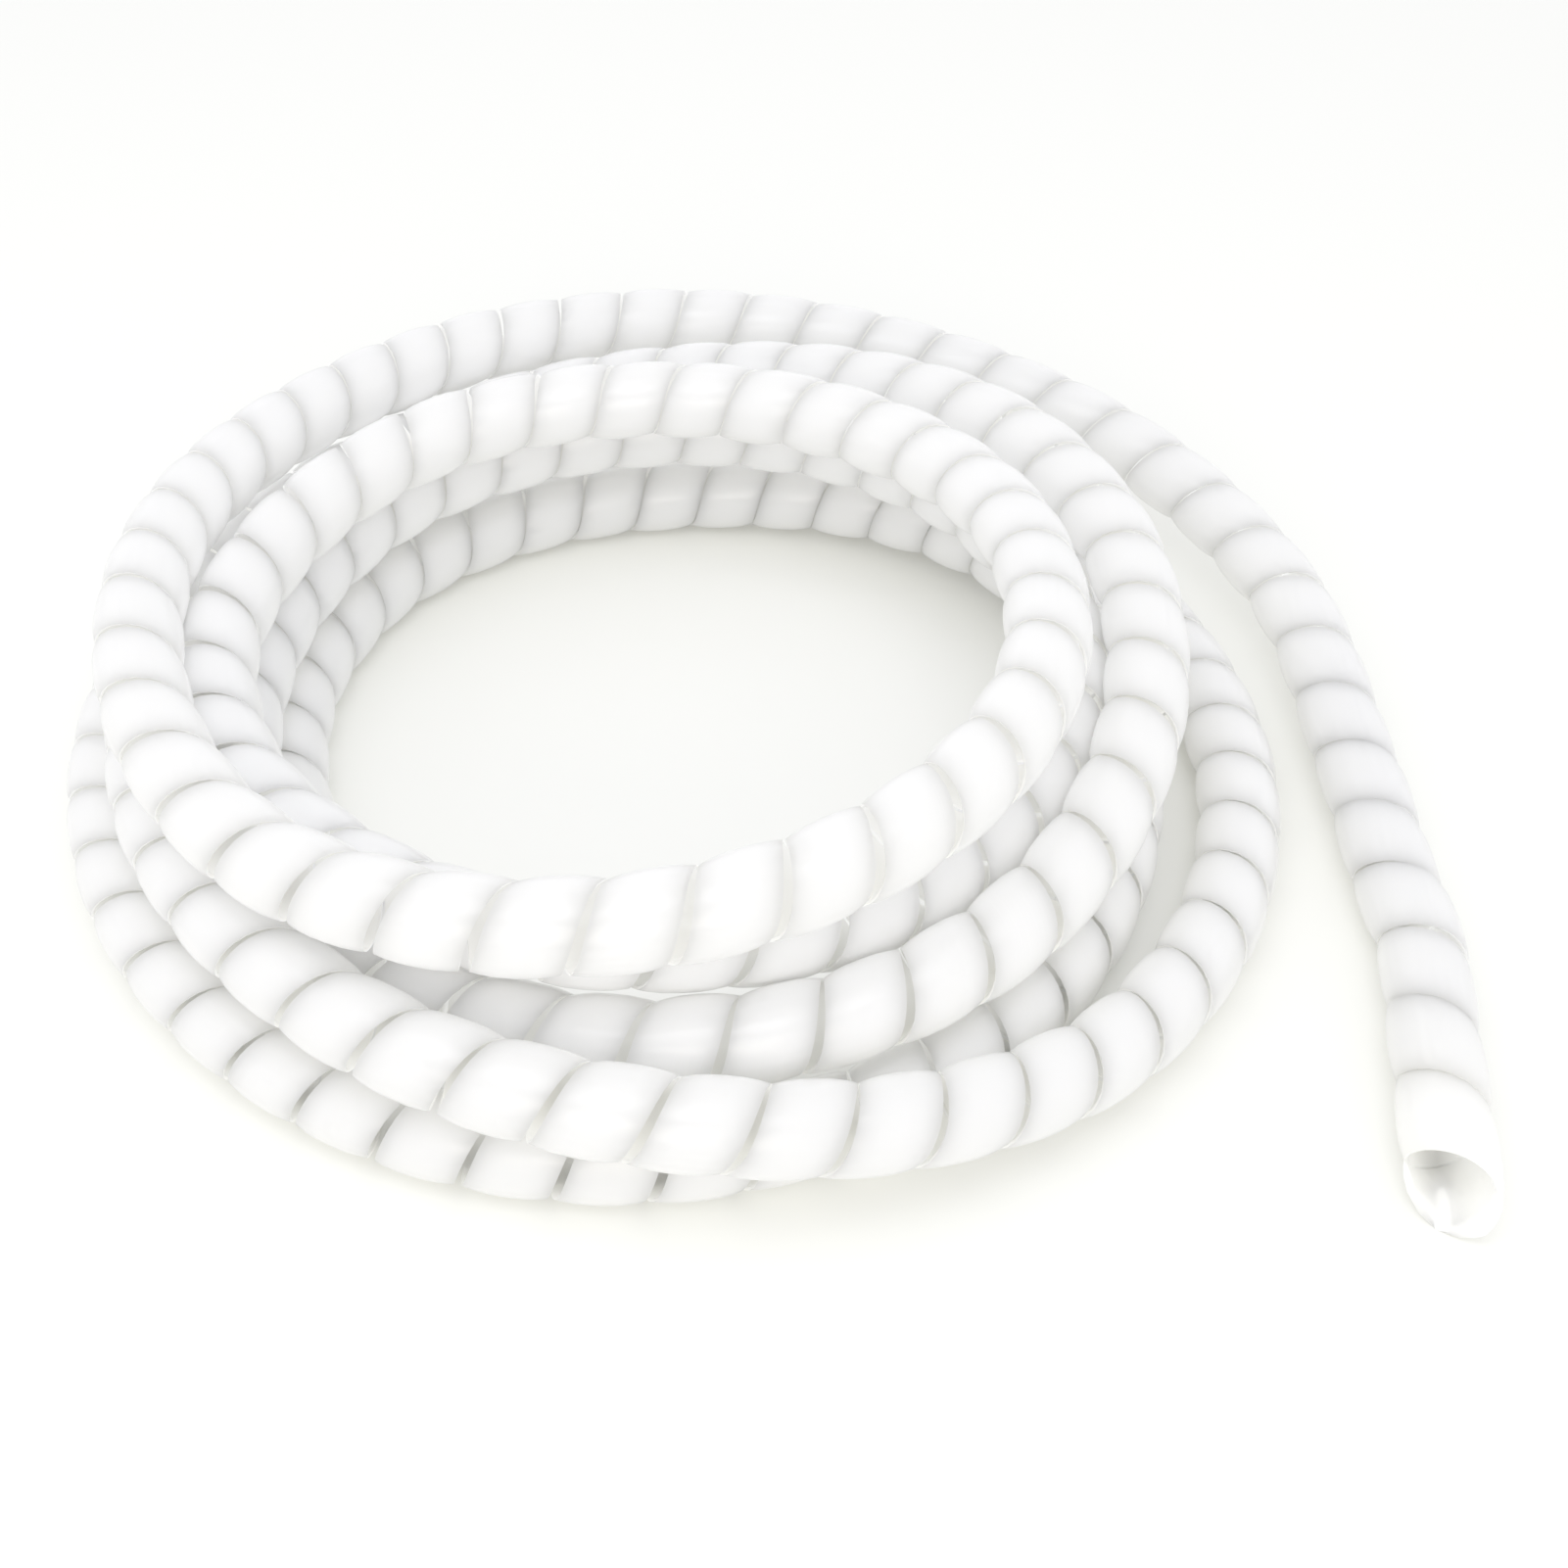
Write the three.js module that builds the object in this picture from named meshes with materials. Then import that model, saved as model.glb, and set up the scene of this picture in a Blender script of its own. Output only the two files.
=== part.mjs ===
import * as THREE from "three";

// Spiral cable wrap: one length of natural polyethylene tube, slit from end to end by a left-hand
// helix, lying on a level floor in a loose coil with one end free at the front right.
// Millimetres, +Z up, +X to the right and +Y to the back. The floor is z = 0 and the origin is
// under the middle of the part.

// The tube, and its slit at the inside of a bend
const tubeDiameter = 24;
const wallThickness = 2;
const slitWidth = 0.4;

// The band circles the tube once for each pitch. Its turns are longer at the mouth of the free
// end, and come down to the coil's pitch along the drawn length.
const coilPitch = 22.8;
const mouthPitch = 26;
const drawnLength = 600;

// The band has six flats to a turn. Its end lies under the tube at the mouth, so that it makes a
// tongue there: degrees round the tube from the side on its left, looking into the mouth.
const flatsPerTurn = 6;
const mouthAngle = -90;

// The coil as it lies, in tube diameters. Each list has one value for each eighth of a turn, from
// the right-hand side, anticlockwise seen from above: the reach is how far the tube's centre line
// is from the coil's axis, and the layer is how high it is above the floor.
const eighths = 8;
const coilReach = [
  8.6, 8.95, 8.35, 7.1, 6.25, 5.85, 5.3, 4.75,
  4.35, 4.45, 4.75, 5.2, 5.5, 5, 4.58, 4.42,
  4.82, 5.3, 5.5, 5.65, 5.4, 5.24, 5.35, 5.48,
  5.7, 6.15, 6.55, 6.7, 6.4, 6.15, 6.45, 6.85,
  7.05, 7.2, 7.6, 7.8, 7.2, 6.45, 6.05, 5.7,
  5.6, 6.15, 6.1, 5.85, 5, 4.45,
];
const coilLayer = [
  0.6, 1.3, 2.15, 2.75, 3.2, 3.1, 3.3, 3.5,
  3.4, 3.15, 3, 2.9, 2.5, 2.4, 2.17, 1.74,
  1.92, 2.05, 2.05, 1.85, 1.45, 1.4, 1.47, 1.75,
  2.45, 2.75, 2.25, 1.8, 1.8, 1.9, 1.65, 0.75,
  0.52, 0.53, 0.65, 0.8, 0.7, 0.55, 0.51, 0.52,
  0.7, 0.75, 0.55, 0.55, 0.51, 0.5,
];

// The free end from its mouth to the coil's first value: x and y from the coil's axis, and layer
const freeEnd = [
  [8.25, -6.4, 0.5],
  [8.4, -5.4, 0.5],
  [8.55, -4.3, 0.5],
  [8.7, -3.1, 0.5],
  [8.65, -1.8, 0.51],
];

// Where the coil's axis stands from the origin, in tube diameters
const coilAxis = [-0.72, -0.975];

// The tube's centre line in tube diameters from the coil's axis, a point for each sixteenth turn
function centrePoints() {
  const points = freeEnd.map(([x, y, layer]) => new THREE.Vector3(x, y, layer));
  const stations = coilReach.map((reach, i) => new THREE.Vector3(i, reach, coilLayer[i]));
  const unrolled = new THREE.CatmullRomCurve3(stations, false, "catmullrom");
  for (const { x: station, y: reach, z: layer } of unrolled.getPoints(2 * (stations.length - 1))) {
    const angle = (station / eighths) * 2 * Math.PI;
    points.push(new THREE.Vector3(reach * Math.cos(angle), reach * Math.sin(angle), layer));
  }
  return points;
}

function makeCentreLine() {
  const toOrigin = new THREE.Vector3(coilAxis[0], coilAxis[1], 0);
  const points = centrePoints().map((point) => point.add(toOrigin).multiplyScalar(tubeDiameter));
  const line = new THREE.CatmullRomCurve3(points);
  line.arcLengthDivisions = 2000;
  return line;
}

// The tube's centres and directions at even steps, and the turns that the band has made up to each
function layTube(centreLine) {
  const length = centreLine.getLength();
  const count = Math.round(length / wallThickness);
  const step = length / count;
  const centres = centreLine.getSpacedPoints(count);
  const directions = centres.map((centre, i) => {
    const before = centres[Math.max(i - 1, 0)];
    const after = centres[Math.min(i + 1, count)];
    return after.clone().sub(before).normalize();
  });
  const turns = [0];
  for (let i = 1; i <= count; i += 1) {
    const drawn = Math.max(1 - (i * step) / drawnLength, 0);
    turns.push(turns[i - 1] + step / (coilPitch + (mouthPitch - coilPitch) * drawn));
  }
  return { centres, directions, turns, step };
}

// Centre and direction of the tube where the band has made so many turns
function placeOnTube(tube, turns) {
  let low = 0;
  let high = tube.turns.length - 1;
  while (high - low > 1) {
    const middle = Math.floor((low + high) / 2);
    if (tube.turns[middle] <= turns) {
      low = middle;
    } else {
      high = middle;
    }
  }
  const share = (turns - tube.turns[low]) / (tube.turns[high] - tube.turns[low]);
  const centre = tube.centres[low].clone().lerp(tube.centres[high], share);
  const along = tube.directions[low].clone().lerp(tube.directions[high], share).normalize();
  return { centre, along, length: (low + share) * tube.step };
}

// How far the band reaches along the tube from its middle line, towards the turn that starts here.
// A bend crowds the turns together on its inside, and there only the slit's width is left.
function reachToNextTurn(tube, turns, lastTurn) {
  const from = Math.min(Math.max(turns, 0), lastTurn - 1);
  const start = placeOnTube(tube, from);
  const end = placeOnTube(tube, from + 1);
  const crowding = (start.along.distanceTo(end.along) * tubeDiameter) / 2;
  return (end.length - start.length - crowding - slitWidth) / 2;
}

// The band's section at one ring of points: inner face, then outer face
function ringCorners(tube, turns, lastTurn) {
  const { centre, along } = placeOnTube(tube, turns);
  const side = new THREE.Vector3(0, 0, 1).cross(along).normalize();
  const above = along.clone().cross(side);
  const angle = THREE.MathUtils.degToRad(mouthAngle) - turns * 2 * Math.PI;
  const outward = side.multiplyScalar(Math.cos(angle)).addScaledVector(above, Math.sin(angle));
  const back = -reachToNextTurn(tube, turns - 1, lastTurn);
  const ahead = reachToNextTurn(tube, turns, lastTurn);
  const outer = tubeDiameter / 2;
  const inner = outer - wallThickness;
  return [[back, inner], [ahead, inner], [ahead, outer], [back, outer]].map(([across, radius]) =>
    centre.clone().addScaledVector(outward, radius).addScaledVector(along, across));
}

function makeBandGeometry(tube) {
  const flats = Math.floor(tube.turns[tube.turns.length - 1] * flatsPerTurn);
  const lastTurn = flats / flatsPerTurn;
  const corners = [];
  for (let ring = 0; ring <= flats; ring += 1) {
    corners.push(...ringCorners(tube, ring / flatsPerTurn, lastTurn));
  }
  const faces = [];
  const addQuad = (a, b, c, d) => faces.push(a, b, c, a, c, d);
  for (let ring = 0; ring < flats; ring += 1) {
    const first = ring * 4;
    for (let i = 0; i < 4; i += 1) {
      const next = (i + 1) % 4;
      addQuad(first + i, first + i + 4, first + next + 4, first + next);
    }
  }
  const end = flats * 4;
  addQuad(0, 1, 2, 3);
  addQuad(end + 3, end + 2, end + 1, end);
  const geometry = new THREE.BufferGeometry().setFromPoints(corners);
  geometry.setIndex(faces);
  geometry.computeVertexNormals();
  return geometry;
}

function makeWrap() {
  const geometry = makeBandGeometry(layTube(makeCentreLine()));
  const milkyPolyethylene = new THREE.MeshStandardMaterial({ color: 0xe9e8e6, roughness: 0.4, metalness: 0 });
  const wrap = new THREE.Mesh(geometry, milkyPolyethylene);
  wrap.name = "spiral_wrap";
  return wrap;
}

const cableWrap = new THREE.Group();
cableWrap.name = "spiral_cable_wrap";
cableWrap.add(makeWrap());

export default cableWrap;
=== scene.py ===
import math
from bisect import bisect_right
import bpy
import bmesh
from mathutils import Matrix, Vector


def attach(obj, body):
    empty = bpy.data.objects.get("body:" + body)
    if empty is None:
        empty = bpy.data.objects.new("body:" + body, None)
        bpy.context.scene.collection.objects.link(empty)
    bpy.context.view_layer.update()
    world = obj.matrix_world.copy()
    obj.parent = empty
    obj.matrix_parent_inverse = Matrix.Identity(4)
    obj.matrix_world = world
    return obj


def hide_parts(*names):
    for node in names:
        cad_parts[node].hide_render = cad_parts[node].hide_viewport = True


# Spiral cable wrap: a loose coil of milky polyethylene tube, slit by a left-hand helix.
# Metres, +Z up. Values that end in "Diameters" are in tube diameters.

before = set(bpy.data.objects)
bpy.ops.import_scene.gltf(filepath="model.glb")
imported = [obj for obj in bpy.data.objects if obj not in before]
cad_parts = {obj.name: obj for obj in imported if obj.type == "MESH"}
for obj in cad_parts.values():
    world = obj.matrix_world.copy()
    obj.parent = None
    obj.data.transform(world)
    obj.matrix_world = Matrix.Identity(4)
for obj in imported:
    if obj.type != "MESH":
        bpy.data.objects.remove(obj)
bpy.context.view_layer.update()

# The wrap

wrap = {
    "tubeDiameter": 0.024,
    "wall": 0.002,
    "coilPitch": 0.0228,
    # the turns are longer at the mouth, and come down to the coil's pitch along the drawn length
    "mouthPitch": 0.026,
    "drawnLength": 0.6,
    # the lips all but touch where the slit is closed; the solid keeps 0.4 mm there
    "slitWidth": 0.0001,
    # the band's end lies under the tube at the mouth: degrees round it from its left side
    "mouthAngle": -90,
    # the solid's flats to a turn, of which the band has a whole number, and the dressed band's rings
    "flatsPerTurn": 6,
    "ringsPerTurn": 24,
    # the route's values to a turn, the spans between them, the spans between the points that these
    # give, and the step between the centres that the band is laid on
    "eighths": 8,
    "stationSpans": 2,
    "pointSpans": 24,
    "sampleStep": 0.002,
    # the crown of a turn stands out from the tube, and its edges lie lower and are thinner
    "crownRise": 0.0003,
    "crownPower": 2.5,
    "edgeDrop": 0.0009,
    "lipThickness": 0.0007,
    # the section's points across the band, from -1 at its back edge to 1 at its front edge
    "outerAcross": (-1, -0.97, -0.88, -0.7, -0.4, 0, 0.4, 0.7, 0.88, 0.97, 1),
    "lipAcross": 0.97,
    "boreAcross": 0.45,
    # share of the open slit that the soft edges take on each side
    "spread": 0.17,
    # the oblique cut at each end, in turns, and how far along the band it fades out
    "cutAhead": 0.05,
    "cutBehind": 0.22,
    "cutFade": 0.9,
    # the mouth's round lower corner: where it starts across the band, and its depth in turns
    "cornerStart": 0.2,
    "cornerRound": 0.09,
}

# The coil as it lies, with a value for each eighth of a turn, anticlockwise from the right: the
# reach is from the coil's axis and the layer from the floor
coilReachDiameters = [
    8.6, 8.95, 8.35, 7.1, 6.25, 5.85, 5.3, 4.75,
    4.35, 4.45, 4.75, 5.2, 5.5, 5, 4.58, 4.42,
    4.82, 5.3, 5.5, 5.65, 5.4, 5.24, 5.35, 5.48,
    5.7, 6.15, 6.55, 6.7, 6.4, 6.15, 6.45, 6.85,
    7.05, 7.2, 7.6, 7.8, 7.2, 6.45, 6.05, 5.7,
    5.6, 6.15, 6.1, 5.85, 5, 4.45,
]
coilLayerDiameters = [
    0.6, 1.3, 2.15, 2.75, 3.2, 3.1, 3.3, 3.5,
    3.4, 3.15, 3, 2.9, 2.5, 2.4, 2.17, 1.74,
    1.92, 2.05, 2.05, 1.85, 1.45, 1.4, 1.47, 1.75,
    2.45, 2.75, 2.25, 1.8, 1.8, 1.9, 1.65, 0.75,
    0.52, 0.53, 0.65, 0.8, 0.7, 0.55, 0.51, 0.52,
    0.7, 0.75, 0.55, 0.55, 0.51, 0.5,
]
# The free end, from its mouth to the coil's first value: x and y from the coil's axis, and layer
freeEndDiameters = [
    (8.25, -6.4, 0.5),
    (8.4, -5.4, 0.5),
    (8.55, -4.3, 0.5),
    (8.7, -3.1, 0.5),
    (8.65, -1.8, 0.51),
]
coilAxisDiameters = (-0.72, -0.975, 0)


# Route

# Catmull-Rom line through the points, with so many spans between each two of them
def smoothLine(points, spans, centripetal):
    power = 0.5 if centripetal else 0
    padded = [2 * points[0] - points[1]] + points + [2 * points[-1] - points[-2]]
    line = []
    for before, start, end, after in zip(padded, padded[1:], padded[2:], padded[3:]):
        first = (start - before).length ** power
        middle = (end - start).length ** power
        last = (after - end).length ** power
        leaving = (start - before) / first - (end - before) / (first + middle) + (end - start) / middle
        arriving = (end - start) / middle - (after - start) / (middle + last) + (after - end) / last
        leaving *= middle
        arriving *= middle
        for i in range(spans):
            t = i / spans
            curve = (2 * start - 2 * end + leaving + arriving) * t ** 3
            curve += (3 * end - 3 * start - 2 * leaving - arriving) * t ** 2
            line.append(start + leaving * t + curve)
    line.append(points[-1].copy())
    return line


# The tube's centre line, from the mouth of the free end
def centreLine():
    stations = [Vector((i, reach, layer))
                for i, (reach, layer) in enumerate(zip(coilReachDiameters, coilLayerDiameters))]
    points = [Vector(point) for point in freeEndDiameters]
    for station, reach, layer in smoothLine(stations, wrap["stationSpans"], False):
        angle = station / wrap["eighths"] * 2 * math.pi
        points.append(Vector((reach * math.cos(angle), reach * math.sin(angle), layer)))
    axis = Vector(coilAxisDiameters)
    points = [(point + axis) * wrap["tubeDiameter"] for point in points]
    return smoothLine(points, wrap["pointSpans"], True)


# The same line with its points a step apart
def evenPoints(line, step):
    lengths = [(end - start).length for start, end in zip(line, line[1:])]
    count = round(sum(lengths) / step)
    spacing = sum(lengths) / count
    points = [line[0].copy()]
    done = 0
    wanted = spacing
    for start, end, length in zip(line, line[1:], lengths):
        while wanted <= done + length and len(points) < count:
            points.append(start.lerp(end, (wanted - done) / length))
            wanted += spacing
        done += length
    points.append(line[-1].copy())
    return points


centres = evenPoints(centreLine(), wrap["sampleStep"])
lastCentre = len(centres) - 1
directions = [(centres[min(i + 1, lastCentre)] - centres[max(i - 1, 0)]).normalized()
              for i in range(lastCentre + 1)]
tubeLength = sum((end - start).length for start, end in zip(centres, centres[1:]))
sampleLength = tubeLength / lastCentre

turnsAt = [0]  # turns of the band up to each centre
for i in range(1, lastCentre + 1):
    drawn = max(1 - i * sampleLength / wrap["drawnLength"], 0)
    pitch = wrap["coilPitch"] + (wrap["mouthPitch"] - wrap["coilPitch"]) * drawn
    turnsAt.append(turnsAt[-1] + sampleLength / pitch)
bandTurns = math.floor(turnsAt[-1] * wrap["flatsPerTurn"]) / wrap["flatsPerTurn"]
print("route: length", round(tubeLength, 3), "m, turns", round(bandTurns, 1))


# Band

# Where the band has made these turns: the tube's centre and direction, the direction from there out
# to the band, and the tube's length up to there
def placeAtTurns(turns):
    low = min(max(bisect_right(turnsAt, turns) - 1, 0), lastCentre - 1)
    share = (turns - turnsAt[low]) / (turnsAt[low + 1] - turnsAt[low])
    centre = centres[low] + (centres[low + 1] - centres[low]) * share
    along = directions[low].lerp(directions[low + 1], min(max(share, 0), 1)).normalized()
    side = Vector((0, 0, 1)).cross(along).normalized()
    angle = math.radians(wrap["mouthAngle"]) - turns * 2 * math.pi
    outward = side * math.cos(angle) + along.cross(side) * math.sin(angle)
    return centre, along, outward, (low + share) * sampleLength


# Points round the section, the outer face first: place across, and height from the nominal tube
def bandSection():
    rise = wrap["crownRise"]
    drop = wrap["edgeDrop"]
    section = [(across, rise - (rise + drop) * abs(across) ** wrap["crownPower"])
               for across in wrap["outerAcross"]]
    lip = -drop - wrap["lipThickness"]
    section += [(wrap["lipAcross"], lip), (wrap["boreAcross"], -wrap["wall"])]
    section += [(-wrap["boreAcross"], -wrap["wall"]), (-wrap["lipAcross"], lip)]
    return section


# How far the cut at an end moves a point of the band, in turns
def cutShift(across, turns):
    shift = wrap["cutAhead"] - (wrap["cutAhead"] + wrap["cutBehind"]) * (across + 1) / 2
    fromStart = max(0, 1 - turns / wrap["cutFade"])
    fromEnd = max(0, 1 - (bandTurns - turns) / wrap["cutFade"])
    corner = max(0, -across - wrap["cornerStart"]) / (1 - wrap["cornerStart"])
    return shift * (fromStart + fromEnd) + wrap["cornerRound"] * corner ** 2 * fromStart


# How far the band reaches from its middle line towards the next turn, at each ring. A bend crowds
# the turns on its inside, which sets the width. Where it opens the slit, the soft edges spread.
def reachesToNextTurn(rings):
    places = []
    for ring in range(rings + 1):
        centre, along, outward, length = placeAtTurns(bandTurns * ring / rings)
        places.append((centre + outward * wrap["tubeDiameter"] / 2, along, length))
    reaches = []
    turnLater = places[wrap["ringsPerTurn"]:]
    for (middle, along, length), (nextMiddle, nextAlong, nextLength) in zip(places, turnLater):
        crowding = (nextAlong - along).length * wrap["tubeDiameter"] / 2
        width = nextLength - length - crowding - wrap["slitWidth"]
        opening = max((nextMiddle - middle).length - width, 0)
        reaches.append(width / 2 + wrap["spread"] * opening)
    return reaches


# A row of vertices for each ring, in the section's order
def addRows(bm, section, rings):
    reaches = reachesToNextTurn(rings)
    lastReach = len(reaches) - 1
    rows = []
    for ring in range(rings + 1):
        turns = bandTurns * ring / rings
        ahead = reaches[min(ring, lastReach)]
        back = reaches[min(max(ring - wrap["ringsPerTurn"], 0), lastReach)]
        row = []
        for across, height in section:
            centre, along, outward, length = placeAtTurns(turns + cutShift(across, turns))
            radius = wrap["tubeDiameter"] / 2 + height
            reach = ahead if across > 0 else back
            row.append(bm.verts.new(centre + outward * radius + along * across * reach))
        rows.append(row)
    return rows


# Faces between the rows. The band's length runs along u and its width across v, both in metres.
def addSkin(bm, section, rows):
    uvLayer = bm.loops.layers.uv.new("band")
    turnLength = math.hypot(math.pi * wrap["tubeDiameter"], wrap["coilPitch"])
    girth = [0]
    for start, end in zip(section, section[1:] + section[:1]):
        step = (end[0] - start[0]) * wrap["coilPitch"] / 2
        girth.append(girth[-1] + math.hypot(step, end[1] - start[1]))
    for ring, (row, nextRow) in enumerate(zip(rows, rows[1:])):
        u = ring / wrap["ringsPerTurn"] * turnLength
        nextU = (ring + 1) / wrap["ringsPerTurn"] * turnLength
        for i in range(len(section)):
            j = (i + 1) % len(section)
            face = bm.faces.new((row[i], row[j], nextRow[j], nextRow[i]))
            face.smooth = True
            corners = ((u, girth[i]), (u, girth[i + 1]), (nextU, girth[i + 1]), (nextU, girth[i]))
            for loop, corner in zip(face.loops, corners):
                loop[uvLayer].uv = corner


# An end's cut isn't flat, so a few faces across the wall close it, by the section's numbers
def closeEnds(bm, rows):
    for part in ((0, 1, 2, 14), (2, 3, 4, 13, 14), (4, 5, 6, 12, 13), (6, 7, 8, 11, 12), (8, 9, 10, 11)):
        bm.faces.new([rows[0][i] for i in reversed(part)])
        bm.faces.new([rows[-1][i] for i in part])


# The lips of the slit stay crisp, at the outer face and at the bore
def sharpenLips(bm, section, rows):
    outerCount = len(wrap["outerAcross"])
    for row, nextRow in zip(rows, rows[1:]):
        for i in (0, outerCount - 1, outerCount, len(section) - 1):
            bm.edges.get((row[i], nextRow[i])).smooth = False


def newObject(name, bm):
    mesh = bpy.data.meshes.new(name)
    bm.to_mesh(mesh)
    bm.free()
    made = bpy.data.objects.new(name, mesh)
    bpy.context.collection.objects.link(made)
    return made


def makeWrap():
    section = bandSection()
    bm = bmesh.new()
    rows = addRows(bm, section, round(bandTurns * wrap["ringsPerTurn"]))
    addSkin(bm, section, rows)
    closeEnds(bm, rows)
    sharpenLips(bm, section, rows)
    bmesh.ops.recalc_face_normals(bm, faces=bm.faces)
    return newObject("spiralWrap", bm)


# Materials

# sRGB hex to the linear colour that the shaders take
def linear(hexColour):
    values = [int(hexColour[i:i + 2], 16) / 255 for i in (0, 2, 4)]
    return [v / 12.92 if v <= 0.04045 else ((v + 0.055) / 1.055) ** 2.4 for v in values] + [1]


# A node with its settings, which are sockets or else properties, and what is linked to its sockets
def addNode(tree, kind, place, settings=None, links=None):
    node = tree.nodes.new(kind)
    node.location = place
    for name, value in (settings or {}).items():
        if isinstance(name, int) or name in node.inputs:
            node.inputs[name].default_value = value
        else:
            setattr(node, name, value)
    for name, output in (links or {}).items():
        tree.links.new(output, node.inputs[name])
    return node


def newMaterial(name):
    material = bpy.data.materials.new(name)
    material.use_nodes = True
    material.node_tree.nodes.clear()
    return material, material.node_tree


# Natural polyethylene, extruded: milky white, with light coming through its thin wall, so that the
# slits show pale and not black, and a soft shine that slow waves and fine draw lines break up
polyethylene = {
    "colour": "fefefe",
    "cloudColour": "fdfdfc",
    "cloudLength": 0.045,
    # painted warm shade: the strands near the floor are tinted creamier, up to this height
    "paintedLowShadeColour": "fbfaee",
    "paintedLowShadeHeight": 0.06,
    # painted shade in the slits: the bore and the slit's walls, which lie past this v, a little more than
    # the crowned outer face's width, take a warmer, slightly darker white
    "paintedBoreShadeColour": "f9f8ec",
    "boreShadeFrom": wrap["coilPitch"] * 1.02,
    "roughness": 0.27,
    "ior": 1.51,
    # light goes this far into the wall, blue a little less than red
    "scatterDepth": 0.016,
    "scatterRadius": (1, 0.99, 0.94),
    "waveLength": 0.012,
    "waveHeight": 0.00025,
    # the draw lines of the die, coarser than real ones so that they show; each runs a good way along
    "drawLineSpacing": 0.0009,
    "drawLineHeight": 0.00003,
    "drawLineRunsPerMetre": 6,
}


def milkyPolyethylene():
    material, tree = newMaterial("milkyPolyethylene")
    place = addNode(tree, "ShaderNodeTexCoord", (-1100, 300))
    uv = addNode(tree, "ShaderNodeUVMap", (-1100, 0), {"uv_map": "band"})

    # slow clouds, inputs 6 and 7 of a colour mix being its two colours
    clouds = addNode(tree, "ShaderNodeTexNoise", (-500, 300),
                     {"Scale": 1 / polyethylene["cloudLength"], "Detail": 3},
                     {"Vector": place.outputs["Object"]})
    cloudy = addNode(tree, "ShaderNodeMix", (-200, 300),
                     {"data_type": "RGBA", 6: linear(polyethylene["cloudColour"]),
                      7: linear(polyethylene["colour"])},
                     {0: clouds.outputs["Fac"]})

    # painted warm shade, creamier towards the floor
    height = addNode(tree, "ShaderNodeSeparateXYZ", (-800, 500),
                     links={"Vector": place.outputs["Object"]})
    lowShadeMask = addNode(tree, "ShaderNodeMapRange", (-500, 500),
                   {"From Max": polyethylene["paintedLowShadeHeight"]},
                   {"Value": height.outputs["Z"]})
    paintedLowShade = addNode(tree, "ShaderNodeMix", (-100, 500),
                     {"data_type": "RGBA", 6: linear(polyethylene["paintedLowShadeColour"])},
                     {0: lowShadeMask.outputs["Result"], 7: cloudy.outputs[2]})

    # painted shade: the bore and the slit's walls take a warmer, slightly darker white
    across = addNode(tree, "ShaderNodeSeparateXYZ", (-800, 100), links={"Vector": uv.outputs["UV"]})
    inside = addNode(tree, "ShaderNodeMath", (-500, 100),
                     {"operation": "GREATER_THAN", 1: polyethylene["boreShadeFrom"]},
                     {0: across.outputs["Y"]})
    colour = addNode(tree, "ShaderNodeMix", (0, 200),
                     {"data_type": "RGBA", 7: linear(polyethylene["paintedBoreShadeColour"])},
                     {0: inside.outputs["Value"], 6: paintedLowShade.outputs[2]})

    # waves, and draw lines along the band
    waves = addNode(tree, "ShaderNodeTexNoise", (-500, 0),
                    {"Scale": 1 / polyethylene["waveLength"], "Detail": 1},
                    {"Vector": uv.outputs["UV"]})
    linesPerMetre = 1 / polyethylene["drawLineSpacing"]
    stretch = addNode(tree, "ShaderNodeMapping", (-800, -250),
                      {"Scale": (polyethylene["drawLineRunsPerMetre"], linesPerMetre, 1)},
                      {"Vector": uv.outputs["UV"]})
    lines = addNode(tree, "ShaderNodeTexNoise", (-500, -250),
                    {"Scale": 1, "Detail": 2},
                    {"Vector": stretch.outputs["Vector"]})
    waveBump = addNode(tree, "ShaderNodeBump", (-200, 0),
                       {"Strength": 1, "Distance": polyethylene["waveHeight"]},
                       {"Height": waves.outputs["Fac"]})
    lineBump = addNode(tree, "ShaderNodeBump", (50, -200),
                       {"Strength": 1, "Distance": polyethylene["drawLineHeight"]},
                       {"Height": lines.outputs["Fac"], "Normal": waveBump.outputs["Normal"]})

    shader = addNode(tree, "ShaderNodeBsdfPrincipled", (300, 0),
                     {"Roughness": polyethylene["roughness"], "IOR": polyethylene["ior"],
                      "Subsurface Weight": 1, "Subsurface Radius": polyethylene["scatterRadius"],
                      "Subsurface Scale": polyethylene["scatterDepth"]},
                     {"Base Color": colour.outputs[2], "Normal": lineBump.outputs["Normal"]})
    addNode(tree, "ShaderNodeOutputMaterial", (600, 0), links={"Surface": shader.outputs["BSDF"]})
    return material


# Matt pale board, which the light brings to white, so that only soft shadows show on it
floorBoard = {
    "size": 12,
    "colour": "dddeda",
    "roughness": 0.7,
}


def paleBoard():
    material, tree = newMaterial("paleFloor")
    shader = addNode(tree, "ShaderNodeBsdfPrincipled", (300, 0),
                     {"Base Color": linear(floorBoard["colour"]), "Roughness": floorBoard["roughness"]})
    addNode(tree, "ShaderNodeOutputMaterial", (600, 0), links={"Surface": shader.outputs["BSDF"]})
    return material


# Pieces

spiralWrap = makeWrap()
spiralWrap.data.materials.append(milkyPolyethylene())
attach(spiralWrap, "root")
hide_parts("spiral_wrap")
print("wrap:", len(spiralWrap.data.polygons), "faces")


# Floor, light and camera

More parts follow.
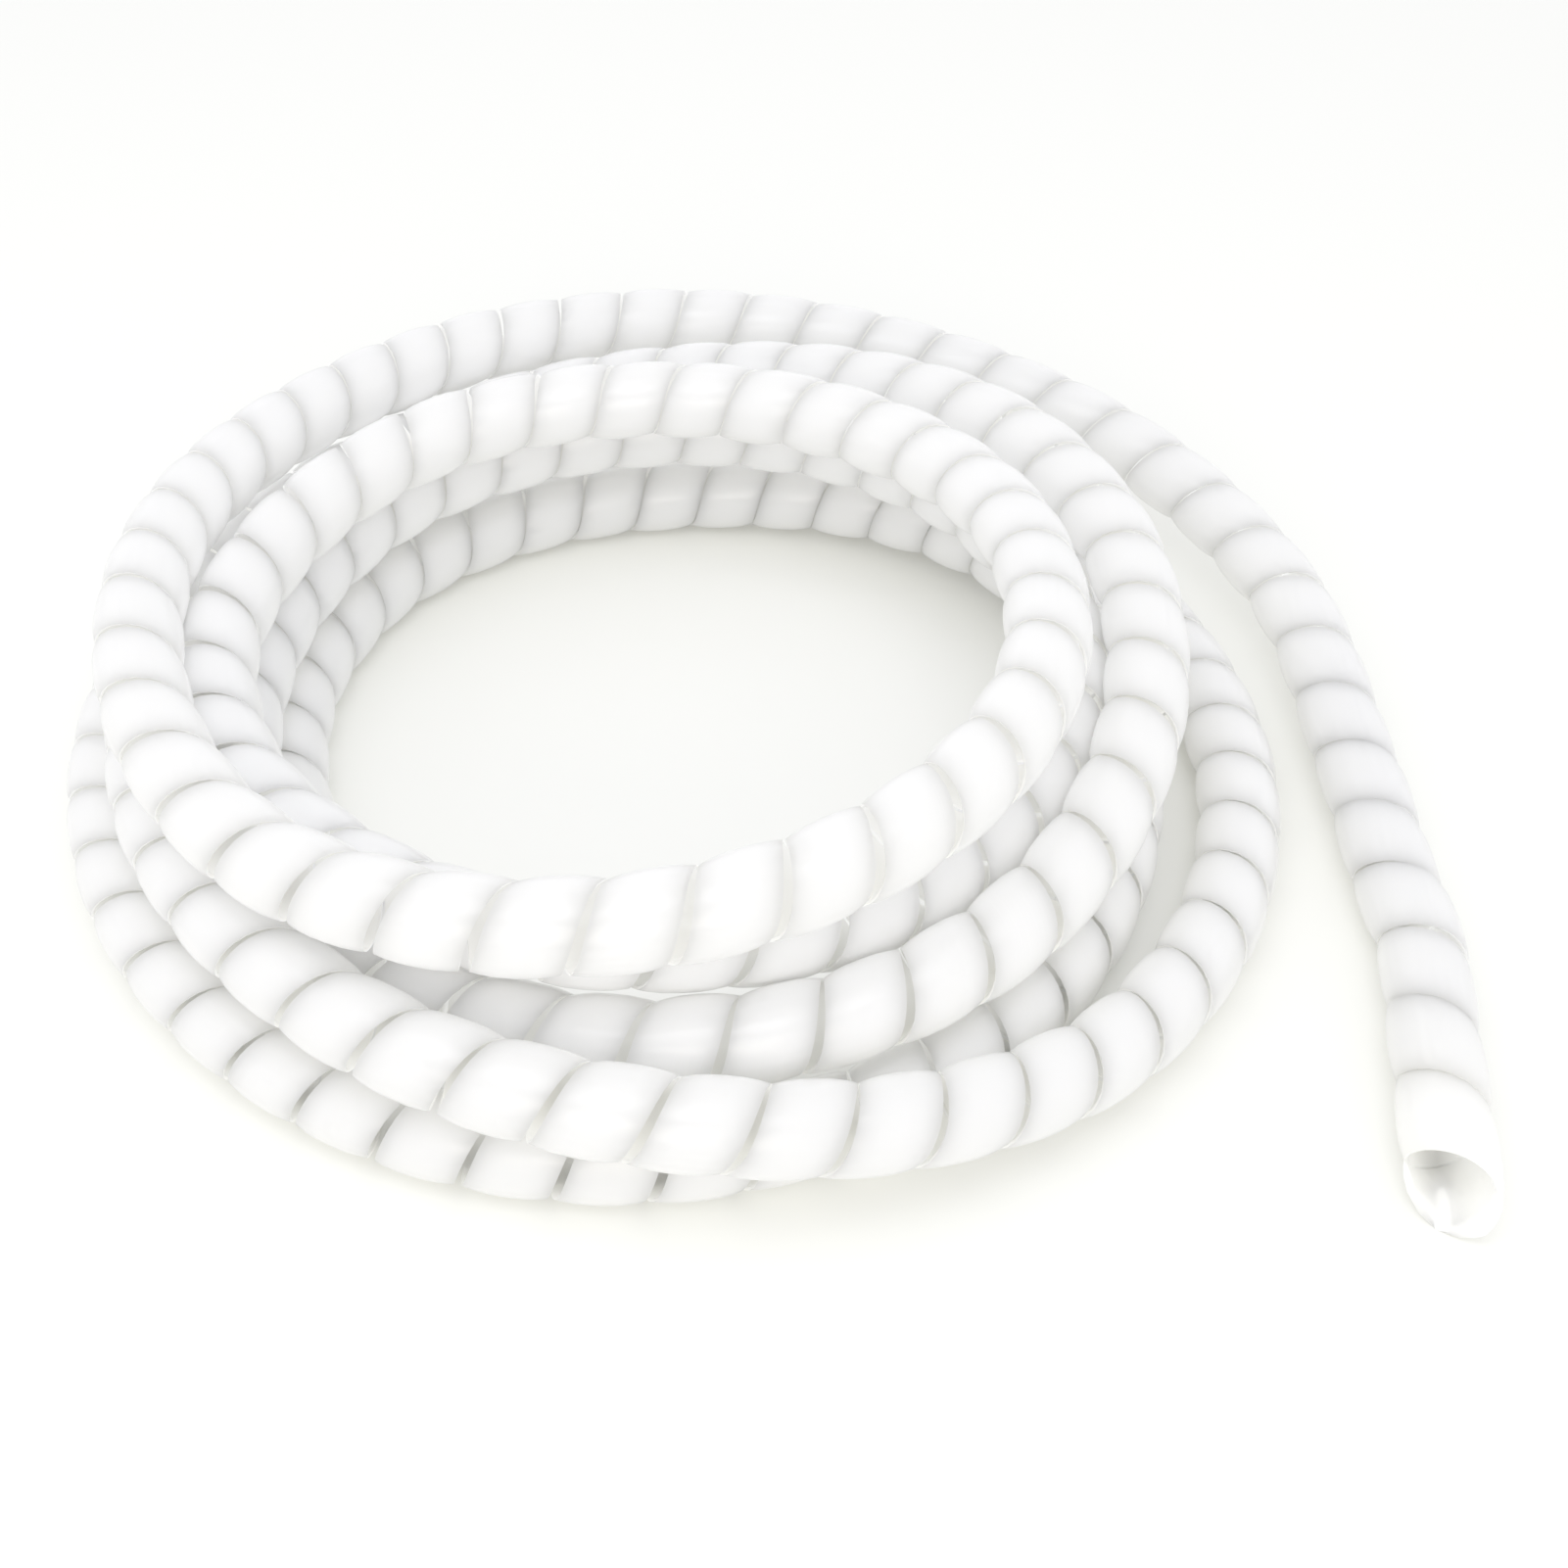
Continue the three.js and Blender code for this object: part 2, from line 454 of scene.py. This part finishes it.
studio = {
    # the camera's place from the coil's axis, its tilt in degrees and its lens
    "cameraDiameters": (1.32, -18.39, 17.14),
    "tilt": 43.12,
    "focalPixels": 1984,
    "imagePixels": 1601,
    "axisRow": 819,
    "sensorWidth": 36,
    "nearest": 0.01,
    # light from all round, a little stronger from the sides than from above
    "worldColour": "fbfbfd",
    "worldSide": 1.35,
    "worldTop": 1.1,
    # a high gamma keeps the tones as close together as the pale strands have them
    "gamma": 1.9,
}
softboxes = {
    "topPanel": {"place": (-0.1, -0.35, 1.1), "size": (0.9, 0.5), "power": 4, "colour": "fdfdff"},
    "frontPanel": {"place": (-0.15, -1.3, 0.6), "size": (1.0, 0.5), "power": 6, "colour": "fff8ea"},
}


def makeFloor():
    bm = bmesh.new()
    bmesh.ops.create_grid(bm, x_segments=1, y_segments=1, size=floorBoard["size"] / 2)
    floor = newObject("floor", bm)
    floor.data.materials.append(paleBoard())


# An area light that faces the origin
def makeSoftbox(name, box):
    data = bpy.data.lights.new(name, "AREA")
    data.shape = "RECTANGLE"
    data.size, data.size_y = box["size"]
    data.energy = box["power"]
    data.color = linear(box["colour"])[:3]
    light = bpy.data.objects.new(name, data)
    light.location = box["place"]
    light.rotation_euler = (-Vector(box["place"])).to_track_quat("-Z", "Y").to_euler()
    bpy.context.collection.objects.link(light)


def makeWorld():
    world = bpy.data.worlds.new("studio")
    world.use_nodes = True
    tree = world.node_tree
    background = tree.nodes["Background"]
    background.inputs["Color"].default_value = linear(studio["worldColour"])
    direction = addNode(tree, "ShaderNodeTexCoord", (-800, 0))
    height = addNode(tree, "ShaderNodeSeparateXYZ", (-600, 0),
                     links={"Vector": direction.outputs["Generated"]})
    strength = addNode(tree, "ShaderNodeMapRange", (-400, 0),
                       {"To Min": studio["worldSide"], "To Max": studio["worldTop"]},
                       {"Value": height.outputs["Z"]})
    tree.links.new(strength.outputs["Result"], background.inputs["Strength"])
    bpy.context.scene.world = world


def makeCamera():
    data = bpy.data.cameras.new("camera")
    data.sensor_width = studio["sensorWidth"]
    data.lens = studio["focalPixels"] / studio["imagePixels"] * data.sensor_width
    data.shift_y = (studio["axisRow"] - studio["imagePixels"] / 2) / studio["imagePixels"]
    data.clip_start = studio["nearest"]
    camera = bpy.data.objects.new("camera", data)
    camera.location = (Vector(studio["cameraDiameters"]) + Vector(coilAxisDiameters)) * wrap["tubeDiameter"]
    camera.rotation_euler = (math.radians(90 - studio["tilt"]), 0, 0)
    bpy.context.collection.objects.link(camera)
    bpy.context.scene.camera = camera


makeFloor()
makeWorld()
for name, box in softboxes.items():
    makeSoftbox(name, box)
makeCamera()
bpy.context.scene.view_settings.view_transform = "Standard"
bpy.context.scene.view_settings.gamma = studio["gamma"]
print("studio: floor, world,", len(softboxes), "softboxes and camera")
